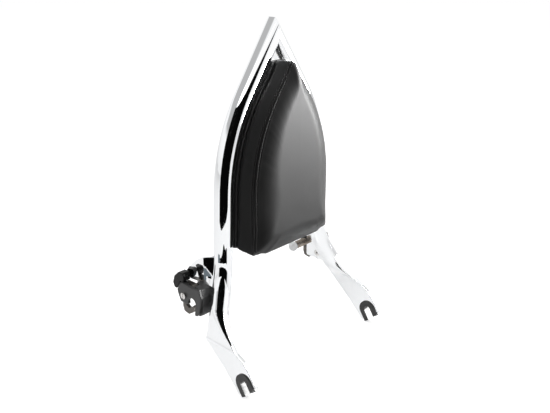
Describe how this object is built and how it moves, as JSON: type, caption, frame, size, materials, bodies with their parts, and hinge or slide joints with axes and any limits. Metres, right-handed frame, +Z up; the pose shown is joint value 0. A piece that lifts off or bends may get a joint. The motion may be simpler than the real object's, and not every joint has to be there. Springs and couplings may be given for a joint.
{
  "type": "motorcycle backrest",
  "caption": "Detachable passenger backrest: bent chrome tube upright with a pointed arch, slotted blades, latched rear docks and an upholstered pad.",
  "frame": {"origin": "midway between the centres of the two blade slots that sit on the front docking studs", "axes": "+Z up, -Y towards the front of the motorcycle (the pad faces that way), +X its left side"},
  "size_m": [0.2692, 0.1537, 0.4519],
  "materials": {
    "chrome": "mirror chrome plate",
    "liner_black": "moulded, satin",
    "casting_dark": "satin black powder coat",
    "latch_steel": "zinc plated",
    "zinc_steel": "bright zinc",
    "spring_steel": "drawn wire",
    "knob_grey": "matte moulded",
    "thumb_black": "moulded",
    "pad_vinyl": "grained vinyl",
    "board_black": "sheet",
    "bracket_black": "powder coat"
  },
  "bodies": {
    "upright": {"upright_frame": "chrome", "pad_cushion": "pad_vinyl", "pad_base_board": "board_black", "pad_bracket_lower": "bracket_black", "pad_bracket_upper": "bracket_black", "pad_bolts": "zinc_steel", "pad_washers": "zinc_steel", "slot_liner_left": "liner_black", "slot_liner_right": "liner_black", "ear_left": "chrome", "ear_right": "chrome", "latch_body_left": "casting_dark", "latch_body_right": "casting_dark", "latch_cover_left": "casting_dark", "latch_cover_right": "casting_dark", "hook_pin_left": "latch_steel", "hook_pin_right": "latch_steel", "release_spring_left": "spring_steel", "release_spring_right": "spring_steel", "shaft_bush_left": "latch_steel", "shaft_bush_right": "latch_steel", "latch_screws_left": "zinc_steel", "latch_screws_right": "zinc_steel"},
    "hook_left": {"latch_hook_left": "latch_steel", "hook_spring_left": "spring_steel", "thumb_pad_left": "thumb_black"},
    "release_left": {"release_shaft_left": "zinc_steel", "release_knob_left": "knob_grey"},
    "hook_right": {"latch_hook_right": "latch_steel", "hook_spring_right": "spring_steel", "thumb_pad_right": "thumb_black"},
    "release_right": {"release_shaft_right": "zinc_steel", "release_knob_right": "knob_grey"}
  },
  "joints": [
    {"name": "hook_pivot_left", "type": "hinge", "parent": "upright", "child": "hook_left", "pos_m": [0.12252, 0.102, 0.0945], "axis": [1, 0, 0], "range_deg": [0, 12], "stiffness_Nm_per_rad": 0.05, "springref_deg": -20.05},
    {"name": "release_slide_left", "type": "slide", "parent": "upright", "child": "release_left", "axis": [1, 0, 0], "range_m": [0, 0.006], "stiffness_N_per_m": 300, "springref_m": -0.006, "deforming": ["release_spring_left"]},
    {"name": "hook_pivot_right", "type": "hinge", "parent": "upright", "child": "hook_right", "pos_m": [-0.12252, 0.102, 0.0945], "axis": [1, 0, 0], "range_deg": [0, 12], "stiffness_Nm_per_rad": 0.05, "springref_deg": -20.05},
    {"name": "release_slide_right", "type": "slide", "parent": "upright", "child": "release_right", "axis": [-1, 0, 0], "range_m": [0, 0.006], "stiffness_N_per_m": 300, "springref_m": -0.006, "deforming": ["release_spring_right"]}
  ]
}
